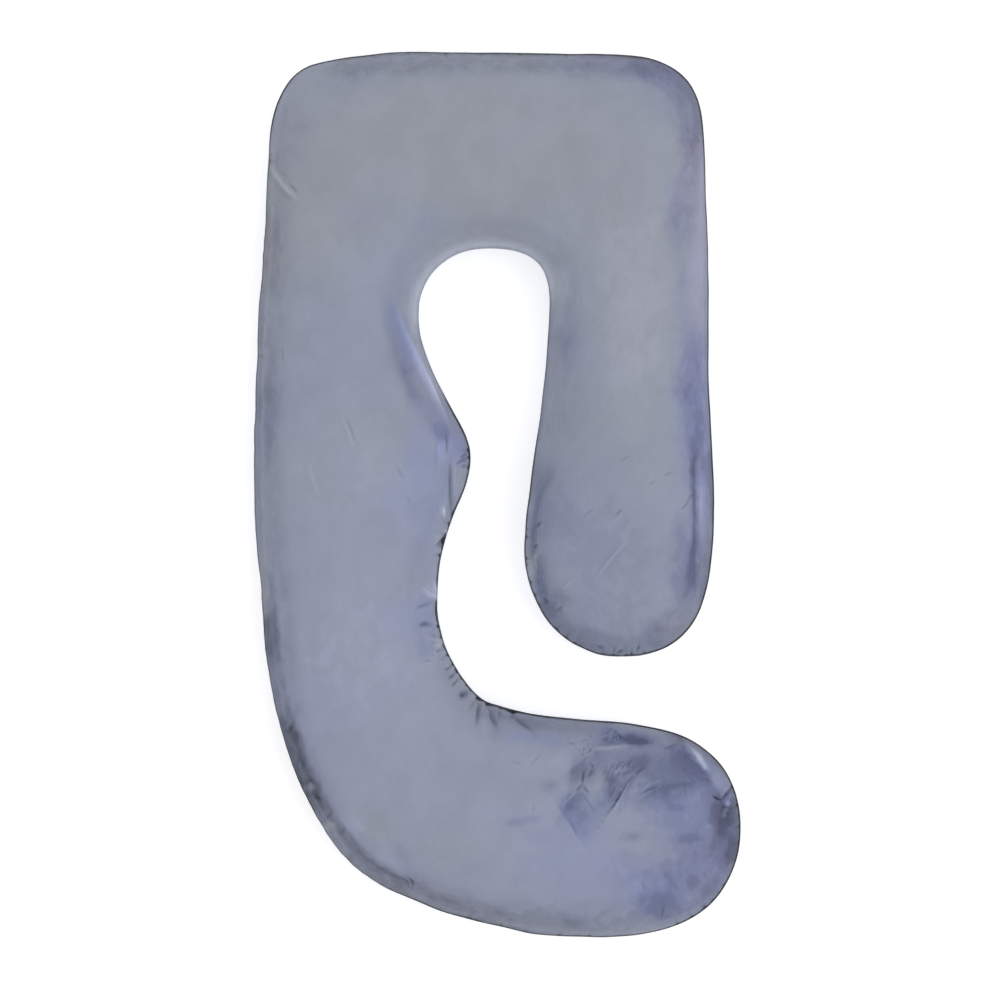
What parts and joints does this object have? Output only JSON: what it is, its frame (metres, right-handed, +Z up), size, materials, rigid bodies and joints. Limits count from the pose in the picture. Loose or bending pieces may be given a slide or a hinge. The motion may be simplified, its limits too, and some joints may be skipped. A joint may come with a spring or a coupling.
{
  "type": "body pillow",
  "caption": "Filled velvet body pillow with a wide head, a long arm with a soft bump inside it, a short arm, and a foot that turns back below the short arm.",
  "frame": {"origin": "on the resting surface, under the middle of the pillow's box", "axes": "+Z up through the pillow's thickness, +Y along its length from the foot to the head, +X from the long arm to the short arm"},
  "size_m": [0.718, 1.301, 0.1645],
  "materials": {
    "velvet": "short-pile velvet, blue-grey, matt with a soft sheen where the nap is brushed"
  },
  "bodies": {
    "root": {"pillow": "velvet"}
  },
  "joints": []
}
